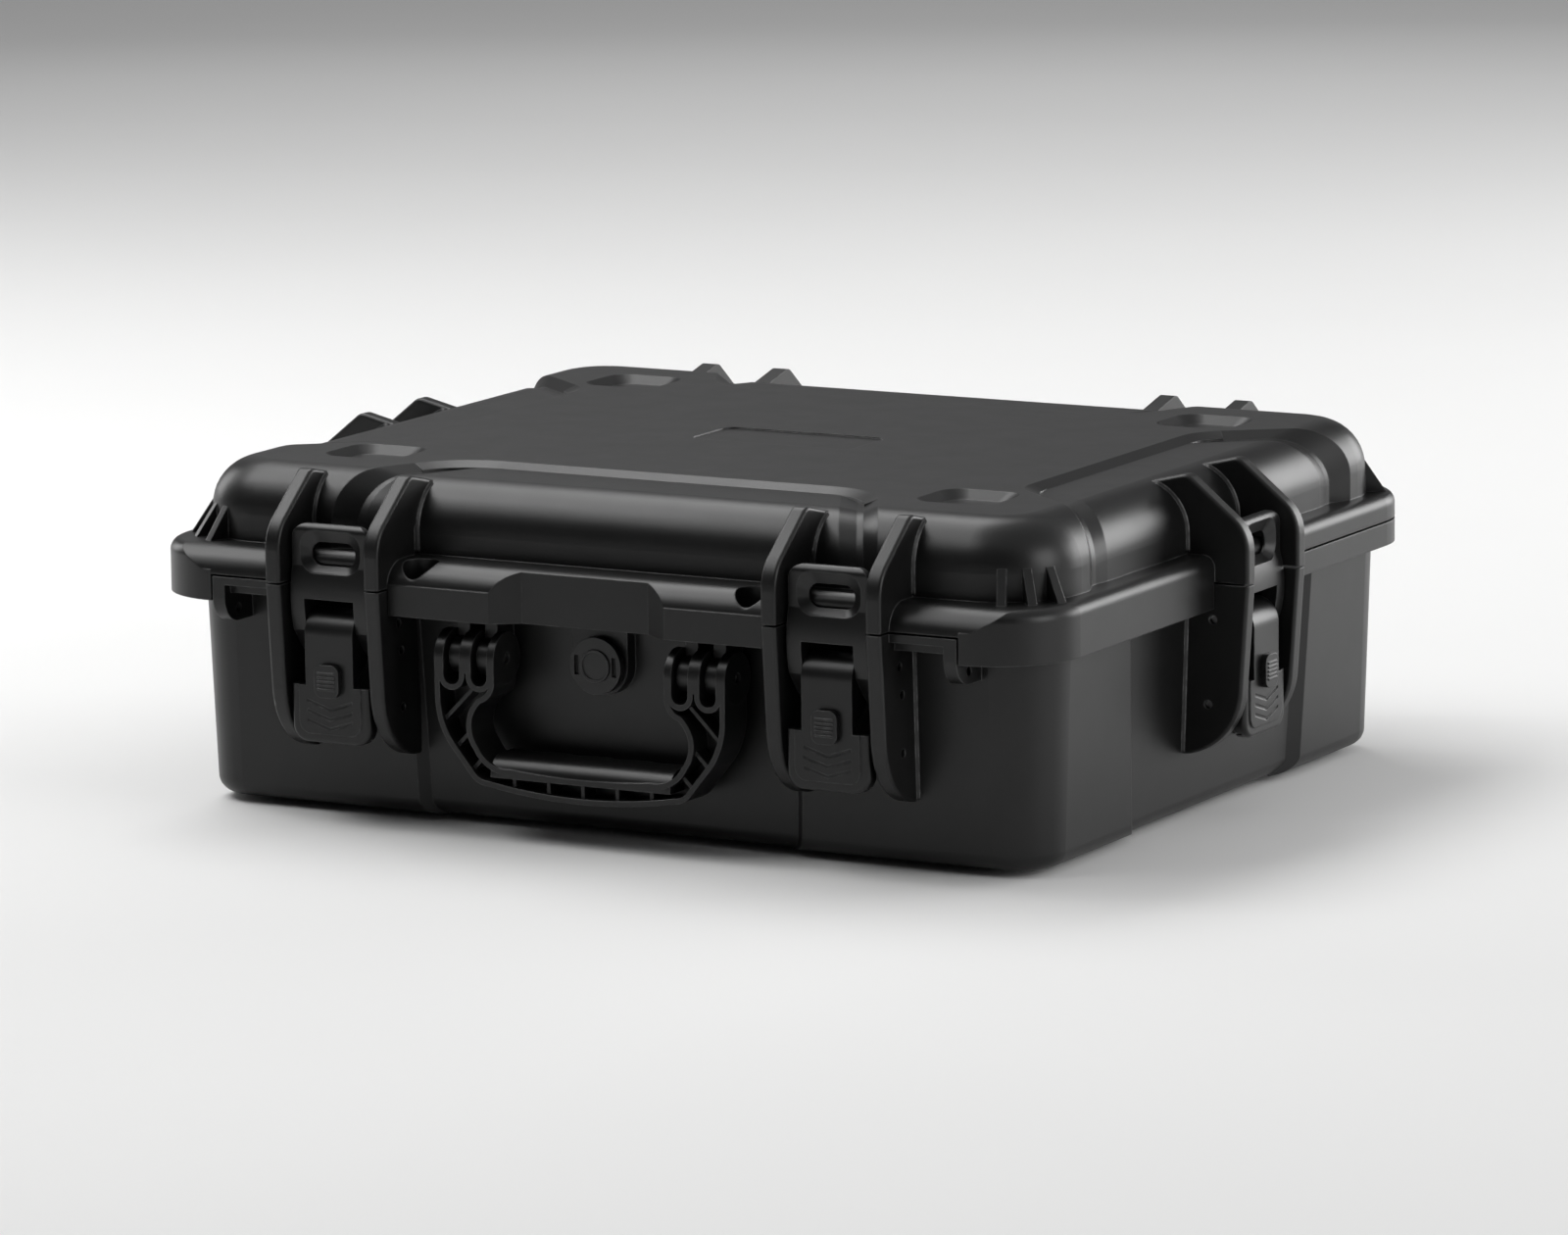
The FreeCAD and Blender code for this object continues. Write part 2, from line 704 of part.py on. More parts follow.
def base_shell():
    fins = [moved for fin in fin_pair(base_fin_points()) for moved in at_every_latch(fin)]
    rim = base_rim().cut(Part.makeCompound(latch_slots(0, base_top + overrun)))
    ears = [base_hinge_ear(x) for m in (-hinge_offset, hinge_offset) for x in hinge_ear_starts(m)]
    lugs = [handle_lug(side * m) for side in (-1, 1) for m in (lug_inner, lug_outer)]
    shell = fused([base_body(), rim] + fins + ears + lugs + both_sides(rim_rib()) + [valve_pad()])
    cavity = leaning_block(cavity_half_length, cavity_half_width, cavity_corner_radius, base_lean,
                           floor_thickness, base_top + overrun)
    cavity = cavity.makeFillet(base_edge_radius - wall, flat_edges(cavity, floor_thickness))
    shell = shell.cut(cavity)
    shell = fused([shell, tongue()])
    shell = pin_holes(shell)
    cuts = [hinge_pin_hole(m) for m in (-hinge_offset, hinge_offset)]
    cuts.append(rod_x(handle_pin_radius + pin_play, -handle_half_width, handle_half_width, handle_pivot_y,
                      handle_pivot_height))
    cuts.append(rod_y(valve_stem_radius + pin_play, -front_wall - overrun, -cavity_half_width + overrun,
                      0, valve_height))
    cuts += [rod_z(padlock_radius, 0, base_top + overrun, side * padlock_x(),
                   padlock_y()) for side in (-1, 1)]
    cuts += [foot_pocket(sx * socket_x, sy * socket_y) for sx in (-1, 1) for sy in (-1, 1)]
    return shell.cut(Part.makeCompound(cuts))


# Lid shell

def end_flank():
    """Corner of an end strip and the point where its flank meets the end wall."""
    return Vector(end_strip_edge, end_strip_half, 0), Vector(end_wall, end_strip_mouth, 0)


def front_flank():
    return Vector(front_strip_half, front_strip_edge, 0), Vector(front_strip_mouth, front_wall, 0)


def raised_outline():
    """Plan of the part of the lid that stands above its four strips: the plateau and four corner arms."""
    end_far = end_flank()[1] * 2 - end_flank()[0]
    front_far = front_flank()[1] * 2 - front_flank()[0]
    quarter = ((end_strip_edge, end_strip_half, end_strip_round), (end_far.x, end_far.y),
               (end_far.x, front_far.y),
               (front_far.x, front_far.y), (front_strip_half, front_strip_edge, front_strip_round))
    points = []
    for sx, sy in ((1, 1), (-1, 1), (-1, -1), (1, -1)):
        run = [(sx * p[0], sy * p[1]) + p[2:] for p in quarter]
        points += run if sx * sy > 0 else run[::-1]
    return points


def raised_region():
    outline = path_wire(raised_outline(), lambda p: Vector(p[0], p[1], strip_height))
    column = Part.Face(outline).extrude(Vector(0, 0, lid_bottom - strip_height))
    narrowed = Part.Face(outline).makeOffset2D(-strip_slope_run, 2)
    top = narrowed.OuterWire.copy()
    top.translate(Vector(0, 0, strip_depth))
    slope = Part.makeLoft([outline, top], True, True)
    return fused([column, slope])


def flank_lines():
    """Corner, direction, raised side and straight start of each flank where a strip leaves the roof."""
    lines = []
    for sx, sy in ((1, 1), (-1, 1), (-1, -1), (1, -1)):
        for flank, edge, radius in ((end_flank(), Vector(0, 1, 0), end_strip_round),
                                    (front_flank(), Vector(1, 0, 0), front_strip_round)):
            corner, mouth = (Vector(sx * p.x, sy * p.y, 0) for p in flank)
            along = (mouth - corner).normalize()
            across = Vector(-along.y, along.x, 0)
            if across.dot(Vector(sx * wall_half_length, sy * wall_half_width, 0) - corner) < 0:
                across = across * -1
            turn = Vector(sx * edge.x, sy * edge.y, 0).getAngle(along)
            lines.append((corner, along, across, radius * math.tan(turn / 2)))
    return lines


def flank_slab(line, start, low, high):
    """Upright slab along a flank, between two distances from its foot."""
    corner, along, across = line[:3]
    near = corner + along * start
    far = near + along * (2 * overrun)
    corners = [near + across * low, far + across * low, far + across * high, near + across * high]
    face = Part.Face(Part.makePolygon(corners + corners[:1]))
    return face.extrude(Vector(0, 0, plateau_height + overrun))


def flank_section(form, line, start, distance):
    """Outline of a form in the upright plane at a distance from a flank's foot."""
    corner, along, across = line[:3]
    near = corner + along * start + across * distance + Vector(0, 0, lid_bottom)
    far = near + along * (2 * overrun)
    rise = Vector(0, 0, lid_height)
    window = Part.Face(Part.makePolygon([near, far, far + rise, near + rise, near]))
    return form.common(window).Faces[0].OuterWire


def flank_ramps(line, low, deep, high):
    """The groove's slope and floor, and the ramp up to the raised corner arm."""
    start = line[3]
    panel = flank_section(low, line, -groove_lead, -groove_reach)
    floor = flank_section(deep, line, -groove_lead, -groove_floor)
    toe = flank_section(deep, line, -groove_lead, 0)
    foot_line = flank_section(deep, line, start, 0)
    brow = flank_section(high, line, start, strip_slope_run)
    return [Part.makeLoft(pair, True, True) for pair in ([panel, floor], [floor, toe], [foot_line, brow])]


def lid_form(half_x, half_y, top):
    block = centred_block(half_x, half_y, lid_corner_radius, lid_bottom, top)
    return block.makeFillet(lid_edge_radius, flat_edges(block, top))


def lid_body():
    """Lid between its rim and roof, with the strips' ends running down over its edge."""
    low = lid_form(end_wall, front_wall, strip_height)
    deep = lid_form(end_wall - groove_depth, front_wall - groove_depth, strip_height - groove_depth)
    high = lid_form(wall_half_length, wall_half_width, plateau_height)
    lines = flank_lines()
    ramp_room = Part.makeCompound([flank_slab(line, line[3], 0, strip_slope_run) for line in lines])
    groove_room = Part.makeCompound([flank_slab(line, -groove_lead, -groove_reach, 0) for line in lines])
    raised = high.common(raised_region()).cut(ramp_room)
    strips = low.cut(ramp_room).cut(groove_room)
    ramps = [ramp for line in lines for ramp in flank_ramps(line, low, deep, high)]
    return fused([strips, raised] + ramps)


def lid_rim():
    """Rim with a rounded edge, and a fuller rounding along the front."""
    top = parting_height + lid_rim_height
    rim = rim_block(0, lid_bottom, top)
    rim = rim.makeFillet(rim_edge_radius, flat_edges(rim, top))
    wide = rim_half_length + overrun
    nose = box(-wide, wide, -rim_front - overrun, rim_nose_radius - rim_front, top - rim_nose_radius,
               top + overrun)
    round_bar = rod_x(rim_nose_radius, -wide, wide, rim_nose_radius - rim_front, top - rim_nose_radius)
    return rim.cut(nose.cut(round_bar))


def skirt_ring():
    ring = rim_block(0, skirt_bottom, lid_bottom + bond)
    return ring.cut(rim_block(skirt_wall, 0, lid_bottom))


def corner_skirt():
    """Deep skirt round a front corner, as far as the nearer fin of the end latch."""
    keep = box(skirt_end, rim_half_length + overrun, -rim_front - overrun, -fin_outer - side_play, 0,
               lid_bottom + bond)
    return skirt_ring().common(keep)


def bib():
    """Deep skirt between the front latches, with its finger recess."""
    half = latch_offset - fin_outer - side_play
    region = box(-half, half, -rim_front - overrun, -front_wall, 0, lid_bottom + bond)
    outer = rim_block(0, skirt_bottom, lid_bottom + bond).common(region)
    outer = outer.cut(bib_recess_block(0, 0, lid_bottom + overrun))
    inner = rim_block(skirt_wall, 0, lid_bottom).cut(bib_recess_block(skirt_wall, 0, lid_bottom))
    return outer.cut(inner)


def gusset(angle):
    """Upright blade on the rim at a lid corner, drawn along +X and turned round the corner's centre."""
    seat = parting_height + lid_rim_height
    root = lid_corner_radius - bond
    toe = lid_corner_radius + gusset_reach
    points = ((root, seat - bond), (toe, seat - bond), (toe, seat),
              (lid_corner_radius, seat + gusset_height),
              (root, seat + gusset_height))
    wire = path_wire(points, lambda p: Vector(p[0], -gusset_thickness / 2, p[1]))
    blade = Part.Face(wire).extrude(Vector(0, gusset_thickness, 0))
    blade.rotate(Vector(0, 0, 0), Vector(0, 0, 1), angle)
    blade.translate(Vector(wall_half_length - lid_corner_radius, wall_half_width - lid_corner_radius, 0))
    return blade


def socket_cut(x, y):
    half_x = socket_length / 2
    half_y = socket_width / 2
    mouth = rounded_wire(x - half_x, x + half_x, y - half_y, y + half_y, socket_corner_radius,
                         plateau_height)
    bed_x = half_x - socket_slope_run
    bed_y = half_y - socket_slope_run
    bed = rounded_wire(x - bed_x, x + bed_x, y - bed_y, y + bed_y,
                       socket_corner_radius - socket_slope_run / 2,
                       plateau_height - socket_depth)
    return Part.makeLoft([bed, mouth], True, True)


def lid_hinge_fin(x0):
    """Lid fin of a rear hinge, ending in a knuckle round the hinge axis."""
    points = [(front_fin_line - p[0],) + p[1:] for p in lid_fin_points()]
    eye = rod_x(hinge_knuckle_radius, x0, x0 + fin_thickness, hinge_axis_y, parting_height)
    return fused([side_prism(points, x0, x0 + fin_thickness), eye])


def hinge_fin_starts(middle):
    return [middle + side * hinge_fin_offset - fin_thickness / 2 for side in (-1, 1)]


def seal_ring(grow, z0, z1):
    inner_x = cavity_half_length + seal_inset - grow
    inner_y = cavity_half_width + seal_inset - grow
    radius = cavity_corner_radius + seal_inset - grow
    width = seal_width + 2 * grow
    ring = centred_block(inner_x + width, inner_y + width, radius + width, z0, z1)
    return ring.cut(centred_block(inner_x, inner_y, radius, z0 - overrun, z1 + overrun))


def lid_shell():
    rim = fused([lid_rim(), bib()] + both_sides(corner_skirt()))
    rim = rim.cut(Part.makeCompound(latch_slots(0, lid_bottom + overrun)))
    rim = rim.cut(bib_recess_block(0, 0, lid_bottom + overrun))
    fins = [moved for fin in fin_pair(lid_fin_points()) for moved in at_every_latch(fin)]
    hinge_fins = [lid_hinge_fin(x) for m in (-hinge_offset, hinge_offset) for x in hinge_fin_starts(m)]
    gussets = [g for angle in gusset_angles for g in in_four_corners(gusset(angle))]
    shell = fused([lid_body(), rim] + fins + hinge_fins + gussets + at_every_latch(strike_bar()))
    cavity = centred_block(cavity_half_length, cavity_half_width, cavity_corner_radius, 0, roof_under)
    shell = shell.cut(cavity.makeFillet(lid_inner_radius, flat_edges(cavity, roof_under)))
    cuts = [socket_cut(sx * socket_x, sy * socket_y) for sx in (-1, 1) for sy in (-1, 1)]
    cuts.append(rounded_block(-plate_half_length, plate_half_length, -plate_front, plate_rear,
                              plate_corner_radius,
                              plateau_height - plate_depth, plateau_height + overrun))
    cuts += [hinge_pin_hole(m) for m in (-hinge_offset, hinge_offset)]
    cuts.append(seal_ring(0, 0, lid_bottom + seal_groove_depth))
    for side in (-1, 1):
        cuts.append(rod_z(padlock_radius, 0, parting_height + overrun, side * padlock_x(), padlock_y()))
        cuts.append(rod_z(padlock_scoop_radius, parting_height + padlock_floor, parting_height + overrun,
                          side * padlock_x(), padlock_y()))
    return shell.cut(Part.makeCompound(cuts))


def lid_seal():
    top = lid_bottom + seal_groove_depth
    return seal_ring(-seal_play, base_top + tongue_rise, top)


# Latch pieces, in the latch's own frame

def cheek_profile():
    r = neck_eye_radius
    rear = lever_pin_depth + r
    top = lever_pin_height + r
    return ((lever_front, cheek_foot), (lever_front, top, neck_curl_radius), (rear, top, r),
            (rear, lever_pin_height),
            (claw_pin_depth + r, claw_pin_height), (claw_pin_depth + r, claw_pin_height - r, r),
            (claw_pin_depth, claw_pin_height - r), (lever_back, cheek_foot))


def neck():
    """Front skin of the neck, curling back over the pivot, with two cheeks that carry the pins."""
    whole = side_prism(cheek_profile(), -neck_half_width, neck_half_width)
    inside = neck_half_width - cheek_thickness
    return whole.cut(box(-inside, inside, lever_back, lever_back + overrun, cheek_foot - overrun,
                         neck_shoulder))


def paddle():
    """Wide lower part of the lever: a plate with a shallow skirt behind its edges and a proud middle."""
    front = lever_front + paddle_step
    depth = lever_front + paddle_skirt_depth
    block = box(-paddle_half_width, paddle_half_width, front, depth, paddle_bottom, paddle_top)
    block = block.makeFillet(paddle_corner_radius, depth_edges(block, paddle_bottom))
    edges = [e for e in block.Edges if abs(e.CenterOfMass.y - front) < pin_play
             and abs(e.CenterOfMass.z - paddle_top) > paddle_edge_radius]
    block = block.makeFillet(paddle_edge_radius, edges)
    half = paddle_half_width - paddle_border
    middle = box(-half, half, lever_front, lever_back, paddle_bottom + paddle_border, paddle_top)
    middle = middle.makeFillet(paddle_corner_radius - paddle_border / 2,
                               depth_edges(middle, paddle_bottom + paddle_border))
    side = lever_skin / 2
    hollow = box(side - paddle_half_width, paddle_half_width - side, lever_back, depth + overrun,
                 paddle_bottom + side, paddle_top + overrun)
    return fused([block, middle]).cut(hollow)


def chevron(z):
    """V-shaped groove across the paddle."""
    half = chevron_half_length
    w = chevron_width
    points = ((-half, z), (0, z - chevron_drop), (half, z), (half, z - w), (0, z - chevron_drop - w),
              (-half, z - w))
    wire = path_wire(points, lambda p: Vector(p[0], lever_front - overrun, p[1]))
    return Part.Face(wire).extrude(Vector(0, overrun + chevron_depth, 0))


def lever():
    body = fused([neck(), paddle(), box(-neck_half_width, neck_half_width, lever_front, lever_back,
                                        paddle_top - bond,
                                        cheek_foot + bond)])
    pins = [rod_x(pin_radius + pin_play, -overrun, overrun, d, z) for d, z in
            ((lever_pin_depth, lever_pin_height), (claw_pin_depth, claw_pin_height))]
    stem = button_stem_half_width + button_play
    low = stem_bottom() - button_play
    slot = box(-stem, stem, 0, lever_back + overrun, low,
               low + button_stem_length + button_travel + 2 * button_play)
    first = button_bottom - chevron_width
    grooves = [chevron(first - i * chevron_pitch) for i in range(chevron_count)]
    return body.cut(Part.makeCompound(pins + [slot] + grooves))


def claw_leg_points():
    r = claw_eye_radius
    eye_low = (claw_pin_depth, claw_pin_height - r)
    eye_high = (claw_pin_depth, claw_pin_height + r)
    return ((claw_front, claw_top, claw_top_radius), (claw_front, window_bottom),
            ((claw_belly, claw_bar_bottom), (claw_front, claw_leg_bend)),
            (claw_pin_depth - r, claw_pin_height),
            eye_low, (claw_pin_depth + r, claw_pin_height), eye_high,
            (claw_leg_back + bond, claw_leg_bend - bond),
            (claw_leg_back, claw_leg_bend), (claw_leg_back, window_bottom), (claw_back, window_bottom),
            (claw_back, claw_top))


def window_outline(share, depth):
    """Outline of the pull window at a depth, grown by a share of its flare."""
    side = window_half_width + window_flare * share
    return front_wire(-side, side, window_bottom - window_flare_bottom * share,
                      window_top + window_flare_top * share,
                      window_radius + window_flare_bottom * share, depth)


def window_cut():
    """Rounded window, flaring out towards the front face."""
    waist = claw_back - pin_radius / 2
    flare = Part.makeLoft([window_outline(1, claw_front), window_outline(0, waist)], True, True)
    straight = Part.Face(window_outline(0, waist)).extrude(Vector(0, overrun, 0))
    ahead = Part.Face(window_outline(1, claw_front)).extrude(Vector(0, -overrun, 0))
    return fused([flare, straight, ahead])


def claw():
    """Link with a pull window, two legs on the lever's second pin and two shelves over the strike bar."""
    slot = neck_half_width + side_play
    whole = side_prism(claw_leg_points(), -claw_half_width, claw_half_width)
    body = whole.cut(box(-slot, slot, -overrun, fin_reach, 0, claw_bar_bottom))
    body = body.common(front_block(-claw_half_width, claw_half_width, 0, claw_top, claw_corner_radius, 0,
                                   fin_reach))
    shelf_low = strike_height + strike_radius + hook_gap
    shelves = both_sides(box(window_half_width + bond, claw_half_width - bond, claw_back - bond,
                             hook_depth, shelf_low,
                             shelf_low + hook_thickness))
    strike_room = rod_x(strike_radius + hook_gap, -overrun, overrun, strike_depth, strike_height)
    body = fused([body] + shelves)
    pin = rod_x(pin_radius + pin_play, -overrun, overrun, claw_pin_depth, claw_pin_height)
    return body.cut(Part.makeCompound([window_cut(), strike_room, pin]))


def stem_bottom():
    return (button_bottom + button_top) / 2 - (button_stem_length + button_travel) / 2


def button():
    """Slide lock: a ridged head, a stem through the lever, and an arm with a lip below the catch pin."""
    rear = lever_front - button_play
    front = rear - button_height
    head = front_block(-button_half_width, button_half_width, button_bottom, button_top,
                       button_corner_radius, front, rear)
    pitch = (button_top - button_bottom - 2 * button_corner_radius) / (button_ridge_count - 1)
    ridges = []
    for i in range(button_ridge_count):
        z = button_bottom + button_corner_radius + i * pitch
        ridges.append(box(-button_half_width + button_corner_radius / 2,
                          button_half_width - button_corner_radius / 2,
                          front - button_ridge_height, front + button_ridge_height,
                          z - button_ridge_width / 2,
                          z + button_ridge_width / 2))
    low = stem_bottom()
    key_front = lever_back + button_play
    key_rear = key_front + button_key_thickness
    stem = box(-button_stem_half_width, button_stem_half_width, front + button_height / 2, key_rear, low,
               low + button_stem_length)
    key = box(-button_key_half_width, button_key_half_width, key_front, key_rear, lock_arm_bottom,
              low + button_stem_length)
    lip_front = catch_pin_depth + pin_radius + lock_lip_gap
    lip_rear = lip_front + lock_arm_thickness
    sole = box(-button_key_half_width, button_key_half_width, key_front, lip_rear, lock_arm_bottom,
               lock_arm_bottom + lock_arm_thickness)
    lip = box(-button_key_half_width, button_key_half_width, lip_front, lip_rear, lock_arm_bottom,
              catch_pin_height - pin_radius - lock_lip_gap)
    return fused([head, stem, key, sole, lip] + ridges)


def latch_pin(depth, height, half_length):
    return rod_x(pin_radius, -half_length, half_length, depth, height)


# Handle

def handle_place(shares):
    top = handle_pivot_height + handle_knuckle_radius
    return (shares[0] * handle_half_width, top - shares[1] * (top - handle_bottom))


def handle_edge(shares, start, bottom):
    """Steps of an edge from the right knuckle, round the middle, to the left knuckle."""
    middles = [handle_place(middle) if middle else None for middle, end in shares]
    places = [start] + [handle_place(end) for middle, end in shares]
    mirrored = [(-x, z) for x, z in places]
    steps = [(middle, end) if middle else end for middle, end in zip(middles, places[1:])]
    steps.append(((0, bottom), mirrored[-1]))
    for middle, end in zip(middles[::-1], mirrored[-2::-1]):
        steps.append(((-middle[0], middle[1]), end) if middle else end)
    return steps


def flipped(step):
    return tuple(flipped(p) for p in step) if isinstance(step[0], tuple) else (-step[0], step[1])


def handle_face():
    top = handle_pivot_height
    outer = handle_edge(handle_outer_shares, (handle_half_width, top), handle_bottom)
    inner = handle_edge(handle_inner_shares, (handle_gap_half, top), grip_bottom + handle_rim)
    points = [(handle_half_width, top)] + outer + [(-handle_gap_half, top)] + [flipped(s) for s in inner]
    return Part.Face(path_wire(points, lambda p: Vector(p[0], handle_front, p[1])))


def handle_ribs():
    """Upright ribs across the grip's channel and slanted braces in the arms."""
    rear = handle_front + handle_pocket_depth
    half = handle_rib_thickness / 2
    ribs = []
    for i in range(handle_rib_count):
        x = (i - (handle_rib_count - 1) / 2) * handle_rib_pitch
        ribs.append(box(x - half, x + half, handle_front + handle_rim, rear, handle_bottom, grip_bottom))
    for i in range(handle_brace_count):
        drop = (i + handle_brace_start_share) / handle_brace_count
        z = handle_brace_top - drop * (handle_brace_top - grip_bottom)
        brace = box(-overrun, overrun, handle_front + handle_rim, rear, -half, half)
        brace.rotate(Vector(0, 0, 0), Vector(0, 1, 0), handle_brace_angle)
        brace.translate(Vector(handle_half_width - handle_rim - (i + 1) * handle_pocket_side, 0, z))
        ribs += both_sides(brace)
    return ribs


def handle_grip():
    """Rounded bar along the bottom, scalloped behind for the fingers."""
    rear = handle_front + grip_depth
    top = grip_bottom + grip_height
    turn = grip_round * (1 - math.sqrt(0.5))
    points = ((handle_front, grip_bottom), (handle_front, top - grip_round),
              ((handle_front + turn, top - turn), (handle_front + grip_round, top)), (rear, top),
              (rear, grip_bottom))
    bar = side_prism(points, -grip_half_length, grip_half_length)
    for i in range(grip_scallop_count):
        x = (i - (grip_scallop_count - 1) / 2) * grip_scallop_pitch
        bar = bar.cut(rod_z(grip_scallop_radius, grip_bottom, top + bond, x,
                            rear + grip_scallop_radius - grip_scallop_depth))
    return bar


def lug_sleeve(middle, half, y0, y1, top):
    """Upright slot or sleeve with a round bottom, where a base lug enters the handle."""
    low = lug_slot_floor + lug_slot_half
    return fused([rod_y(half, y0, y1, middle, low), box(middle - half, middle + half, y0, y1, low, top)])


def handle_pocket():
    """Front channel of the handle, left clear of its ribs."""
    pocket = handle_face().makeOffset2D(-handle_rim, 0).extrude(Vector(0, handle_pocket_depth, 0))
    below = box(-handle_half_width, handle_half_width, handle_front - overrun, handle_front + overrun, 0,
                handle_pocket_top)
    return pocket.common(below).cut(Part.makeCompound(handle_ribs()))


def handle():
    frame = handle_face().extrude(Vector(0, grip_depth, 0)).cut(handle_pocket())
    knuckle = rod_x(handle_knuckle_radius, handle_gap_half, handle_half_width, handle_pivot_y,
                    handle_pivot_height)
    sleeve_rear = handle_pivot_y + handle_knuckle_radius / 2
    carriers = [knuckle]
    slots = []
    for middle in (lug_inner, lug_outer):
        carriers.append(lug_sleeve(middle, lug_slot_half + handle_rim, handle_front, sleeve_rear,
                                   handle_pivot_height))
        slots += both_sides(lug_sleeve(middle, lug_slot_half, handle_front - overrun,
                                       handle_front + overrun,
                                       handle_pivot_height + overrun))
    body = fused([frame, handle_grip()] + [s for c in carriers for s in both_sides(c)])
    pin = rod_x(handle_pin_radius + pin_play, -handle_half_width - bond, handle_half_width + bond,
                handle_pivot_y,
                handle_pivot_height)
    return body.cut(Part.makeCompound(slots + [pin]))


def handle_pin(side):
    pin = rod_x(handle_pin_radius, handle_gap_half + handle_pin_inset,
                handle_half_width - handle_pin_inset,
                handle_pivot_y, handle_pivot_height)
    return both_sides(pin)[side]


# Pressure valve

def valve_seat_y():
    return -(front_wall + valve_pad_reach)


def valve_body():
    """Flanged ring with slots round its face and a threaded stem through the wall."""
    rear = valve_seat_y() - valve_seal_thickness
    front = rear - valve_thickness
    ring = rod_y(valve_radius, front, rear, 0, valve_height)
    stem = rod_y(valve_stem_radius, rear - bond, valve_nut_thickness + bond - cavity_half_width, 0,
                 valve_height)
    body = fused([ring, stem])
    cuts = [rod_y(valve_cap_radius + pin_play, front - overrun, front + valve_cap_depth, 0, valve_height)]
    for i in range(valve_slot_count):
        slot = box(valve_radius - valve_slot_inset - valve_slot_width, valve_radius - valve_slot_inset,
                   front - overrun,
                   front + valve_slot_depth, -valve_slot_half_length, valve_slot_half_length)
        slot.rotate(Vector(0, 0, 0), Vector(0, 1, 0), i * 360.0 / valve_slot_count)
        slot.translate(Vector(0, 0, valve_height))
        cuts.append(slot)
    return body.cut(Part.makeCompound(cuts))


def valve_cap():
    rear = valve_seat_y() - valve_seal_thickness - valve_thickness + valve_cap_depth
    front = rear - valve_cap_depth - valve_cap_rise
    cap = rod_y(valve_cap_radius, front, rear, 0, valve_height)
    dish = rod_y(valve_cap_radius - valve_cap_rim, front - overrun, front + valve_cap_dish, 0,
                 valve_height)
    return cap.cut(dish)


def valve_seal():
    front = valve_seat_y() - valve_seal_thickness
    washer = rod_y(valve_radius - valve_seal_rim, front, valve_seat_y(), 0, valve_height)
    return washer.cut(rod_y(valve_stem_radius + pin_play, front - overrun, front + overrun, 0,
                            valve_height))


def valve_wall_y():
    """Inner face of the leaning front wall at the upper edge of the nut, where it lies furthest in."""
    rise = (valve_height - valve_nut_radius - floor_thickness) / (base_top + overrun - floor_thickness)
    return -(cavity_half_width - base_lean * (1 - rise))


def valve_nut():
    y = valve_wall_y()
    corners = []
    for i in range(valve_nut_sides):
        angle = 2 * math.pi * i / valve_nut_sides
        corners.append(Vector(valve_nut_radius * math.cos(angle), y,
                              valve_height + valve_nut_radius * math.sin(angle)))
    nut = Part.Face(Part.makePolygon(corners + corners[:1])).extrude(Vector(0, valve_nut_thickness, 0))
    return nut.cut(rod_y(valve_stem_radius + pin_play, y - overrun, y + overrun, 0, valve_height))


# Rear hinge pins

def hinge_pin(middle):
    half = hinge_fin_offset + fin_thickness + fin_thickness / 2 + side_play - pin_end_inset
    return rod_x(hinge_pin_radius, middle - half, middle + half, hinge_axis_y, parting_height)


def all_parts():
    parts = {
        "base_shell": base_shell(),
        "lid_shell": lid_shell(),
        "lid_seal": lid_seal(),
        "foot_front_left": foot(-socket_x, -socket_y),
        "foot_front_right": foot(socket_x, -socket_y),
        "foot_rear_left": foot(-socket_x, socket_y),
        "foot_rear_right": foot(socket_x, socket_y),
        "handle": handle(),
        "handle_pin_right": handle_pin(0),
        "handle_pin_left": handle_pin(1),
        "hinge_pin_left": hinge_pin(-hinge_offset),
        "hinge_pin_right": hinge_pin(hinge_offset),
        "valve_body": valve_body(),
        "valve_cap": valve_cap(),
        "valve_seal": valve_seal(),
        "valve_nut": valve_nut(),
    }
    fixed_half = fin_outer - pin_end_inset
    latch = {
        "lever": lever(),
        "claw": claw(),
        "button": button(),
        "lever_pin": latch_pin(lever_pin_depth, lever_pin_height, fixed_half),
        "claw_pin": latch_pin(claw_pin_depth, claw_pin_height, claw_half_width),
        "catch_pin": latch_pin(catch_pin_depth, catch_pin_height, fixed_half),
    }
    for place in latch_places:
        for name, shape in latch.items():
            parts[place + "_" + name] = at_latch(shape, place)
    return parts


os.makedirs("parts", exist_ok=True)
for node, shape in all_parts().items():
    shape.translate(Vector(0, 0, foot_height))
    shape.exportStep("parts/" + node + ".step")
    print(node, len(shape.Solids), shape.isValid(), round(shape.Volume / 1000, 1))
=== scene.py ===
import json
import math

import bmesh
import bpy
from mathutils import Matrix, Vector
from mathutils.bvhtree import BVHTree


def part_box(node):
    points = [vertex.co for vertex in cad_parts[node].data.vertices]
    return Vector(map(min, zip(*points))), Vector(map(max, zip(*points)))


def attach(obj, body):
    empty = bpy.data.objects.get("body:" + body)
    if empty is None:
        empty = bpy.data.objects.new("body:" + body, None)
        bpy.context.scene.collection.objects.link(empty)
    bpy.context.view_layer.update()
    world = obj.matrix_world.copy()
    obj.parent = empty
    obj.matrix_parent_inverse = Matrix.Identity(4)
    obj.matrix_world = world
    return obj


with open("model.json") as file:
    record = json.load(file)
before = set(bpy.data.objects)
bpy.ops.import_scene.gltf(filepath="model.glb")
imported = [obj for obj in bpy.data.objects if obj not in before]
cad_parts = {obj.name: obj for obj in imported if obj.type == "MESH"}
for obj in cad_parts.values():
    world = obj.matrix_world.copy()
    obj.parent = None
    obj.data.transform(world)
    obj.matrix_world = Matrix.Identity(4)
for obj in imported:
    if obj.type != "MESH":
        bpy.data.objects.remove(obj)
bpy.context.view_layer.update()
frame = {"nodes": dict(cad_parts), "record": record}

scene = bpy.context.scene


# Materials

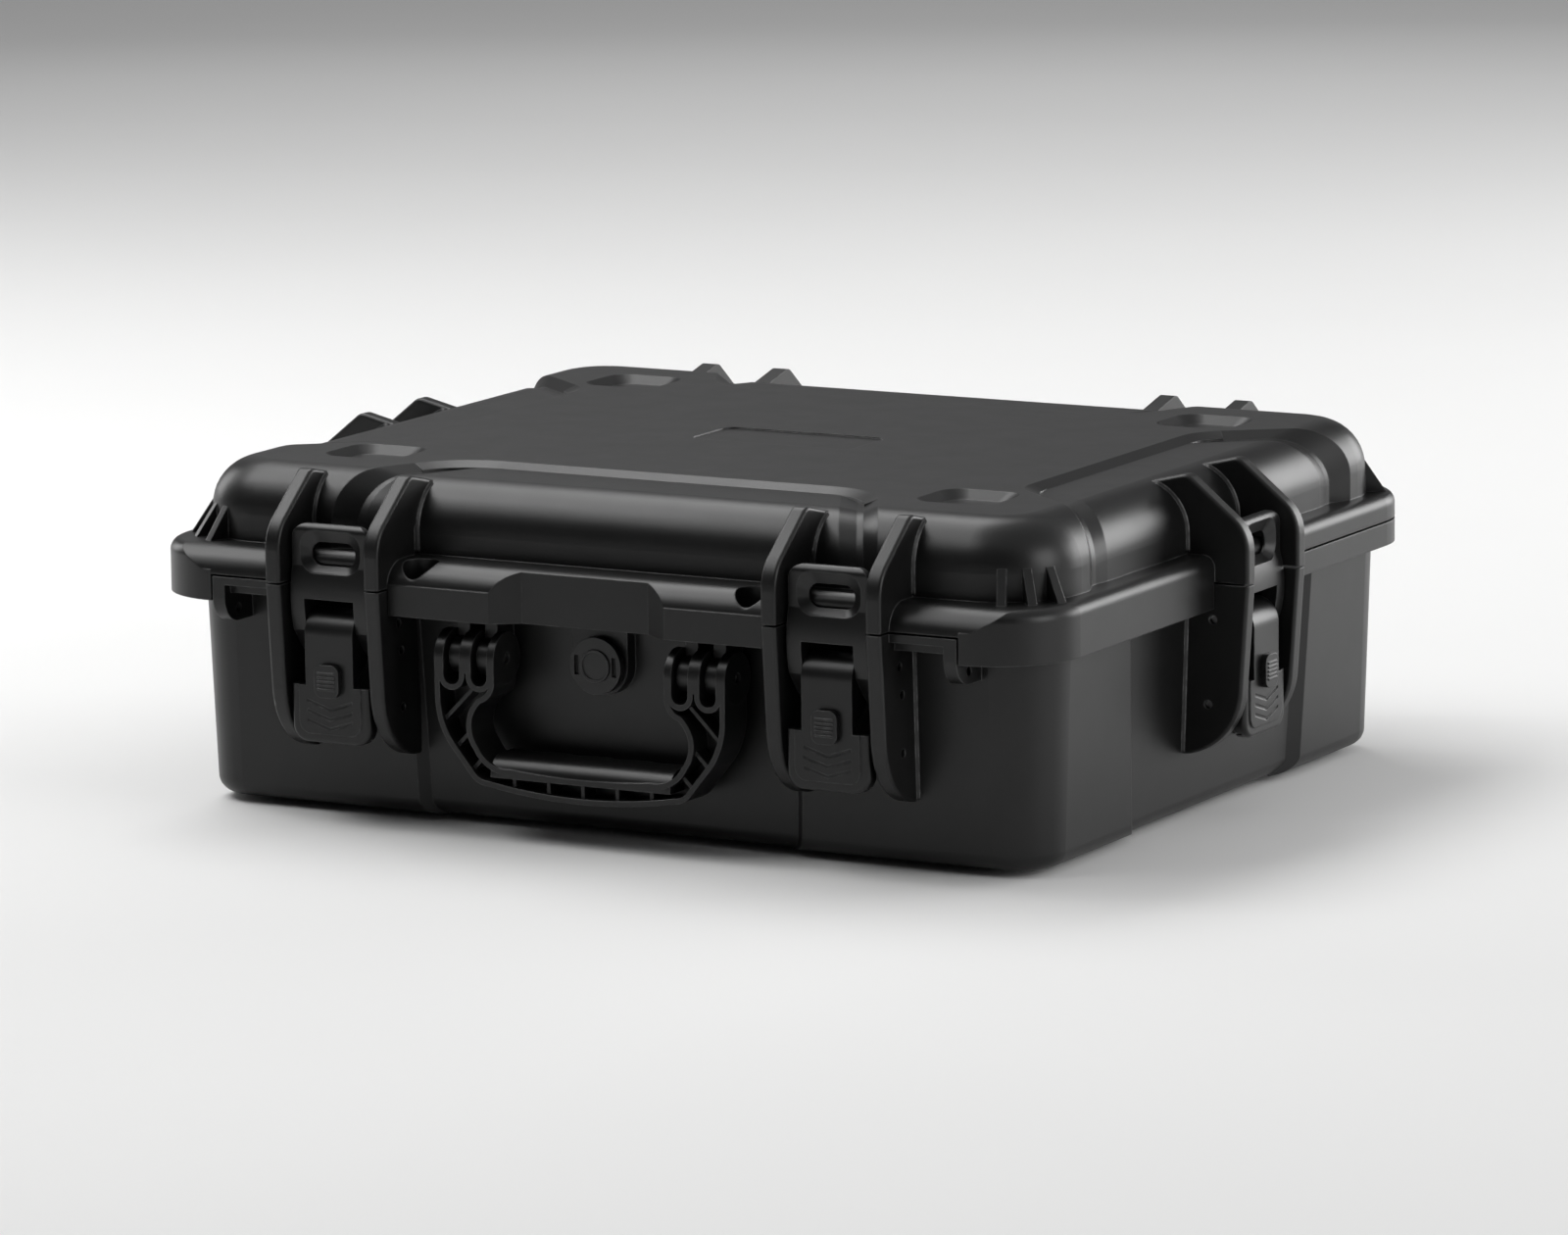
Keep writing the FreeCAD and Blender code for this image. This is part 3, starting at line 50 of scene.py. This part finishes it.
MOTTLE_SCALE = 26.0          # noise cells per metre, as for the other scales
EDGE_PATCH_SCALE = 180.0
GLOSS_SCALE = 60.0
GLOSS_SPREAD = 0.012         # the roughness wanders this far either way
EDGE_HIGHLIGHT_TURN = 0.75             # an edge takes the full painted highlight and wear colour where the normals' cosine is this low
PLASTIC_IOR = 1.49
PLASTIC_SPECULAR = 0.42
BEVEL_SAMPLES = 4
BUMP_SHARE = 4               # grain cells are this many times as wide as deep
RUBBER_MOTTLE_SCALE = 140.0
RUBBER_GRAIN_SCALE = 1800.0
RUBBER_GRAIN_DEPTH = 0.0002
DRAWN_SCALE = (60.0, 2400.0, 2400.0)
COLOUR_A = 6                 # colour sockets of a mix node
COLOUR_B = 7
COLOUR_RESULT = 2


def new_material(name):
    material = bpy.data.materials.new(name)
    material.use_nodes = True
    tree = material.node_tree
    return material, tree, tree.nodes["Principled BSDF"]


def add_node(tree, kind, **settings):
    node = tree.nodes.new(kind)
    for key, value in settings.items():
        setattr(node, key, value)
    return node


def object_coords(tree):
    return add_node(tree, "ShaderNodeTexCoord").outputs["Object"]


def noise(tree, coords, scale, detail, roughness=0.5):
    node = add_node(tree, "ShaderNodeTexNoise")
    node.inputs["Scale"].default_value = scale
    node.inputs["Detail"].default_value = detail
    node.inputs["Roughness"].default_value = roughness
    tree.links.new(coords, node.inputs["Vector"])
    return node.outputs["Fac"]


def ramp(tree, value, stops):
    node = add_node(tree, "ShaderNodeValToRGB")
    elements = node.color_ramp.elements
    for element, (place, colour) in zip(elements, stops):
        element.position = place
        element.color = (*colour, 1.0)
    tree.links.new(value, node.inputs["Fac"])
    return node.outputs["Color"]


def grey(value):
    return (value, value, value)


def edge_mask(tree, rounded):
    """1 on edges and 0 on flats, from how far the rounded normal turns away from the true one."""
    true_normal = add_node(tree, "ShaderNodeNewGeometry").outputs["Normal"]
    dot = add_node(tree, "ShaderNodeVectorMath", operation="DOT_PRODUCT")
    tree.links.new(rounded, dot.inputs[0])
    tree.links.new(true_normal, dot.inputs[1])
    mask = add_node(tree, "ShaderNodeMapRange")
    mask.inputs["From Min"].default_value = 1.0
    mask.inputs["From Max"].default_value = EDGE_HIGHLIGHT_TURN
    tree.links.new(dot.outputs["Value"], mask.inputs["Value"])
    return mask.outputs["Result"]


def highlit_and_worn_edges(tree, coords, rounded, base, edge_highlight_and_wear):
    """The base colour, with a lighter colour in noisy patches along the edges: a painted highlight, partly
    wear.
    """
    # The patches break up the painted edge highlight so that it also reads as light wear.
    edge_patches = noise(tree, coords, EDGE_PATCH_SCALE, detail=4.0, roughness=0.65)
    patch_level = ramp(tree, edge_patches, ((0.42, grey(0.25)), (0.62, grey(1.0))))
    mask = add_node(tree, "ShaderNodeMath", operation="MULTIPLY")
    tree.links.new(edge_mask(tree, rounded), mask.inputs[0])
    tree.links.new(patch_level, mask.inputs[1])
    # Mixes in the lighter edge colour: a painted highlight along convex and concave edges, partly wear.
    mix = add_node(tree, "ShaderNodeMix", data_type="RGBA")
    tree.links.new(mask.outputs["Value"], mix.inputs["Factor"])
    tree.links.new(base, mix.inputs[COLOUR_A])
    mix.inputs[COLOUR_B].default_value = (*edge_highlight_and_wear, 1.0)
    return mix.outputs[COLOUR_RESULT]


def moulded_plastic(name, dark, light, edge_highlight_and_wear, roughness, grain, grain_size, edge_radius):
    """Satin moulded plastic: spark texture, slight mottling, softened edges lightened by a painted highlight
    with faint wear.
    """
    material, tree, shader = new_material(name)
    coords = object_coords(tree)
    bevel = add_node(tree, "ShaderNodeBevel", samples=BEVEL_SAMPLES)
    bevel.inputs["Radius"].default_value = edge_radius
    rounded = bevel.outputs["Normal"]
    mottle = noise(tree, coords, MOTTLE_SCALE, detail=5.0, roughness=0.6)
    base = ramp(tree, mottle, ((0.3, dark), (0.72, light)))
    tree.links.new(highlit_and_worn_edges(tree, coords, rounded, base, edge_highlight_and_wear), shader.inputs["Base Color"])
    gloss = noise(tree, coords, GLOSS_SCALE, detail=4.0, roughness=0.55)
    gloss_stops = ((0.3, grey(roughness - GLOSS_SPREAD)), (0.7, grey(roughness + GLOSS_SPREAD)))
    tree.links.new(ramp(tree, gloss, gloss_stops), shader.inputs["Roughness"])
    bump = add_node(tree, "ShaderNodeBump")
    bump.inputs["Strength"].default_value = grain
    bump.inputs["Distance"].default_value = grain_size / BUMP_SHARE
    tree.links.new(noise(tree, coords, 1.0 / grain_size, detail=2.0), bump.inputs["Height"])
    tree.links.new(rounded, bump.inputs["Normal"])
    tree.links.new(bump.outputs["Normal"], shader.inputs["Normal"])
    shader.inputs["IOR"].default_value = PLASTIC_IOR
    shader.inputs["Specular IOR Level"].default_value = PLASTIC_SPECULAR
    return material


def soft_rubber():
    material, tree, shader = new_material("seal_rubber")
    coords = object_coords(tree)
    mottle = noise(tree, coords, RUBBER_MOTTLE_SCALE, detail=4.0)
    base = ramp(tree, mottle, ((0.3, grey(0.009)), (0.7, grey(0.016))))
    tree.links.new(base, shader.inputs["Base Color"])
    bump = add_node(tree, "ShaderNodeBump")
    bump.inputs["Strength"].default_value = 0.2
    bump.inputs["Distance"].default_value = RUBBER_GRAIN_DEPTH
    tree.links.new(noise(tree, coords, RUBBER_GRAIN_SCALE, detail=2.0), bump.inputs["Height"])
    tree.links.new(bump.outputs["Normal"], shader.inputs["Normal"])
    shader.inputs["Roughness"].default_value = 0.75
    return material


def drawn_steel():
    material, tree, shader = new_material("pin_steel")
    stretch = add_node(tree, "ShaderNodeMapping")
    stretch.inputs["Scale"].default_value = DRAWN_SCALE
    tree.links.new(object_coords(tree), stretch.inputs["Vector"])
    lines = noise(tree, stretch.outputs["Vector"], 1.0, detail=3.0)
    base = ramp(tree, lines, ((0.3, grey(0.32)), (0.7, grey(0.46))))
    gloss = ramp(tree, lines, ((0.3, grey(0.28)), (0.7, grey(0.42))))
    tree.links.new(base, shader.inputs["Base Color"])
    tree.links.new(gloss, shader.inputs["Roughness"])
    shader.inputs["Metallic"].default_value = 1.0
    return material


# The 0.11 edge colour of these plastics is a painted highlight on the edges, partly wear.
shell_plastic = moulded_plastic("shell_plastic", dark=grey(0.004), light=grey(0.007), edge_highlight_and_wear=grey(0.11),
                                roughness=0.38, grain=0.12, grain_size=0.0007, edge_radius=0.0009)
fitting_plastic = moulded_plastic("fitting_plastic", dark=grey(0.004), light=grey(0.007), edge_highlight_and_wear=grey(0.11),
                                  roughness=0.35, grain=0.10, grain_size=0.0006, edge_radius=0.0008)
valve_plastic = moulded_plastic("valve_plastic", dark=grey(0.009), light=grey(0.013), edge_highlight_and_wear=grey(0.11),
                                roughness=0.36, grain=0.10, grain_size=0.0005, edge_radius=0.0005)
slot_material = {
    "shell": shell_plastic,
    "fittings": fitting_plastic,
    "valve": valve_plastic,
    "rubber": soft_rubber(),
    "steel": drawn_steel(),
}
for row in frame["record"]["subparts"]:
    node = frame["nodes"][row["node"]]
    node.data.materials.clear()
    node.data.materials.append(slot_material[row["material_slot"]])


# Fillets at the roots of the latch fins, found by rays that run beside each fin to the wall that carries it

UP = Vector((0.0, 0.0, 1.0))
INWARD = {
    "front_left": Vector((0.0, 1.0, 0.0)),
    "front_right": Vector((0.0, 1.0, 0.0)),
    "right": Vector((-1.0, 0.0, 0.0)),
    "left": Vector((1.0, 0.0, 0.0)),
}
FIN_INNER = 0.0225           # half the clear width between a latch's two fins
FIN_OUTER = 0.0304           # half the width over both
WALL_DEPTH = 0.031           # from the fins' front edges to the wall that carries them
FILLET_RADIUS = 0.0015
FILLET_STEPS = 6             # facets across a fillet
BESIDE = 0.0003              # rays run this far beside a fin
TUCK = 0.00005               # a fillet's far edge lies this far inside the fin
SLIT_REACH = 0.005           # spans the slit between the lid's front fins and the sunk strip
STAND_OFF = 0.010            # rays start this far from the wall
RAY_LENGTH = 4 * STAND_OFF
LEVEL_PITCH = 0.0012         # from ray to ray up a wall
FAN_PITCH = 3                # degrees from ray to ray round the roof's edge
FAN_RADIUS = 3.2 * STAND_OFF
BEND = 2 * STAND_OFF         # the fan's middle lies this far below the roof and behind the wall
MOST_SLANT = -0.2            # a ray's dot product with a wall that faces it enough
MOST_TURN = 0.3              # and the wall's own turn towards the fin, at most
LONGEST_BREAK = 3 * LEVEL_PITCH
SHORTEST_RUN = 12            # rays


def shell_tree(node_name):
    mesh = frame["nodes"][node_name].data
    return BVHTree.FromPolygons([v.co for v in mesh.vertices], [p.vertices for p in mesh.polygons])


def latch_front(place):
    """Middle of the latch at floor level, on the line of its fins' front edges."""
    low, high = (Vector(c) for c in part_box(place + "_lever_pin"))
    inward = INWARD[place]
    edge = Vector(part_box("base_shell")[0 if inward.x + inward.y > 0 else 1])
    middle = (low + high) / 2
    front = middle - inward * (middle - edge).dot(inward)
    return front - UP * front.z


def fin_beside(tree, spot, away):
    return tree.ray_cast(spot, -away, 2 * BESIDE)[0] is not None


def fin_height(tree, spot, normal, away):
    """How far the fin beside a spot stands off the wall, up to the fillet's radius."""
    tall = 0.0
    for step in range(1, FILLET_STEPS + 1):
        level = FILLET_RADIUS * step / FILLET_STEPS
        if not fin_beside(tree, spot + normal * level, away):
            break
        tall = level
    return tall


def cast_line(tree, rays, across, away):
    """Corner, wall normal, fillet radius and reach up the fin, at each ray that meets the wall beside it."""
    line = []
    for start, heading in rays:
        spot, normal, _, _ = tree.ray_cast(start, heading, RAY_LENGTH)
        if spot is None or normal.dot(heading) > MOST_SLANT or abs(normal.dot(across)) > MOST_TURN:
            continue
        radius = fin_height(tree, spot, normal, away)
        reach = radius + BESIDE
        if radius == 0.0 and fin_beside(tree, spot + normal * SLIT_REACH, away):
            radius = FILLET_RADIUS
            reach = SLIT_REACH
        if radius > 0.0:
            line.append((spot - away * BESIDE, normal, radius, reach))
    return line


def level_rays(foot, inward, low, high):
    """A ladder of level rays up a wall."""
    count = round((high - low) / LEVEL_PITCH)
    for step in range(count):
        level = low + (high - low) * step / count
        yield foot + inward * (WALL_DEPTH - STAND_OFF) + UP * level, inward


def lid_rays(foot, inward):
    """Up the lid's wall, and then round the roof's edge."""
    low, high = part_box("lid_shell")
    bend_height = high[2] - BEND
    yield from level_rays(foot, inward, low[2], bend_height)
    focus = foot + inward * (WALL_DEPTH + BEND) + UP * bend_height
    for degrees in range(0, 90, FAN_PITCH):
        angle = math.radians(degrees)
        out = UP * math.sin(angle) - inward * math.cos(angle)
        yield focus + out * FAN_RADIUS, -out


def base_rays(foot, inward):
    low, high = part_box("base_shell")
    yield from level_rays(foot, inward, low[2], high[2])


def unbroken_runs(line):
    """The stretches of a line with no gap in them, without the very short ones."""
    runs = [line[:1]]
    for before, here in zip(line, line[1:]):
        if (here[0] - before[0]).length > LONGEST_BREAK:
            runs.append([])
        runs[-1].append(here)
    return [run for run in runs if len(run) > SHORTEST_RUN]


def add_strip(line, away, vertices, faces):
    """Adds a closed strip with a concave face, whose back corner is hidden inside the shell."""
    first = len(vertices)
    for corner, normal, radius, reach in line:
        centre = corner + (away + normal) * radius
        for step in range(FILLET_STEPS + 1):
            angle = math.pi / 2 * step / FILLET_STEPS
            vertices.append(centre - (normal * math.cos(angle) + away * math.sin(angle)) * radius)
        vertices.append(corner + normal * reach - away * TUCK)
        vertices.append(corner - (away + normal) * BESIDE)
    ring = (len(vertices) - first) // len(line)
    last = len(vertices) - ring
    for here in range(first, last, ring):
        for k in range(ring):
            follow = (k + 1) % ring
            faces.append((here + k, here + follow, here + ring + follow, here + ring + k))
    faces.append(tuple(first + k for k in reversed(range(ring))))
    faces.append(tuple(last + k for k in range(ring)))


def turn_faces_outwards(mesh):
    work = bmesh.new()
    work.from_mesh(mesh)
    bmesh.ops.recalc_face_normals(work, faces=work.faces)
    work.to_mesh(mesh)
    work.free()


def add_fillets(name, node_name, body, wall_rays):
    tree = shell_tree(node_name)
    vertices = []
    faces = []
    for place, inward in INWARD.items():
        across = inward.cross(UP)
        front = latch_front(place)
        for side, sense in ((FIN_INNER, -1.0), (-FIN_INNER, 1.0), (FIN_OUTER, 1.0), (-FIN_OUTER, -1.0)):
            away = across * sense
            rays = wall_rays(front + across * side + away * BESIDE, inward)
            for run in unbroken_runs(cast_line(tree, rays, across, away)):
                add_strip(run, away, vertices, faces)
    mesh = bpy.data.meshes.new(name)
    mesh.from_pydata(vertices, [], faces)
    turn_faces_outwards(mesh)
    mesh.materials.append(shell_plastic)
    mesh.polygons.foreach_set("use_smooth", [len(p.vertices) == 4 for p in mesh.polygons])
    piece = bpy.data.objects.new(name, mesh)
    scene.collection.objects.link(piece)
    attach(piece, body)


add_fillets("lid_fin_fillets", "lid_shell", "lid", lid_rays)
add_fillets("base_fin_fillets", "base_shell", "base", base_rays)


# Stage

FLOOR_HALF = 30.0
FLOOR_MOTTLE_SCALE = 1.4
FLOOR_DARK = (0.78, 0.78, 0.775)
FLOOR_LIGHT = (0.80, 0.80, 0.795)


def floor_material():
    material, tree, shader = new_material("floor_paper")
    mottle = noise(tree, object_coords(tree), FLOOR_MOTTLE_SCALE, detail=3.0)
    base = ramp(tree, mottle, ((0.3, FLOOR_DARK), (0.7, FLOOR_LIGHT)))
    tree.links.new(base, shader.inputs["Base Color"])
    shader.inputs["Roughness"].default_value = 0.85
    return material


def make_floor(half):
    mesh = bpy.data.meshes.new("floor")
    corners = [(-half, -half, 0), (half, -half, 0), (half, half, 0), (-half, half, 0)]
    mesh.from_pydata(corners, [], [(0, 1, 2, 3)])
    mesh.materials.append(floor_material())
    floor = bpy.data.objects.new("floor", mesh)
    scene.collection.objects.link(floor)


make_floor(FLOOR_HALF)


# Camera, as fitted to the photograph

SENSOR_WIDTH = 36.0          # millimetres
FAR_CLIP = 200.0


def aim(azimuth, elevation, roll, target, distance, focal_pixels, image_width):
    a, e, r = (math.radians(v) for v in (azimuth, elevation, roll))
    back = Vector((math.sin(a) * math.cos(e), -math.cos(a) * math.cos(e), math.sin(e)))
    right = Vector((math.cos(a), math.sin(a), 0))
    up = back.cross(right)
    right, up = right * math.cos(r) + up * math.sin(r), up * math.cos(r) - right * math.sin(r)
    camera = bpy.data.cameras.new("camera")
    camera.sensor_width = SENSOR_WIDTH
    camera.lens = focal_pixels / image_width * SENSOR_WIDTH
    camera.clip_end = FAR_CLIP
    holder = bpy.data.objects.new("camera", camera)
    matrix = Matrix((right, up, back)).transposed().to_4x4()
    matrix.translation = Vector(target) + back * distance
    holder.matrix_world = matrix
    scene.collection.objects.link(holder)
    scene.camera = holder


aim(azimuth=29.00, elevation=10.16, roll=-0.71, target=(-0.00631, 0.0, 0.07383), distance=3.9757,
    focal_pixels=8575.84, image_width=1600)


# Light

CASE_MIDDLE = Vector((0.0, 0.0, 0.08))
WORLD_COLOUR = (0.05, 0.05, 0.052, 1.0)


def hang(name, light, direction):
    """Puts a lamp in the scene with its back towards the direction."""
    holder = bpy.data.objects.new(name, light)
    holder.rotation_euler = direction.to_track_quat("Z", "Y").to_euler()
    scene.collection.objects.link(holder)
    return holder


def softbox(name, place, width, height, watts):
    light = bpy.data.lights.new(name, "AREA")
    light.shape = "RECTANGLE"
    light.size = width
    light.size_y = height
    light.energy = watts
    hang(name, light, Vector(place) - CASE_MIDDLE).location = place


def sky_sun(name, direction, strength, spread):
    light = bpy.data.lights.new(name, "SUN")
    light.energy = strength
    light.angle = math.radians(spread)
    hang(name, light, Vector(direction))


sky_sun("even", (0.25, 0.2, 1.0), strength=0.75, spread=100.0)
softbox("top_left", (-1.1, 0.35, 1.95), width=2.2, height=1.0, watts=30.0)
softbox("front_left", (-1.1, -0.9, 1.8), width=1.6, height=0.8, watts=14.0)
softbox("back_right", (1.4, 2.3, 0.65), width=2.2, height=1.1, watts=48.0)
softbox("back_left", (-1.5, 2.7, 0.8), width=2.0, height=0.9, watts=1.6)
softbox("right", (2.6, -0.3, 0.9), width=1.3, height=1.4, watts=24.0)
softbox("left", (-2.4, 0.6, 0.8), width=0.7, height=1.2, watts=12.0)

world = bpy.data.worlds.new("studio")
world.use_nodes = True
world.node_tree.nodes["Background"].inputs["Color"].default_value = WORLD_COLOUR
scene.world = world
scene.view_settings.view_transform = "Standard"
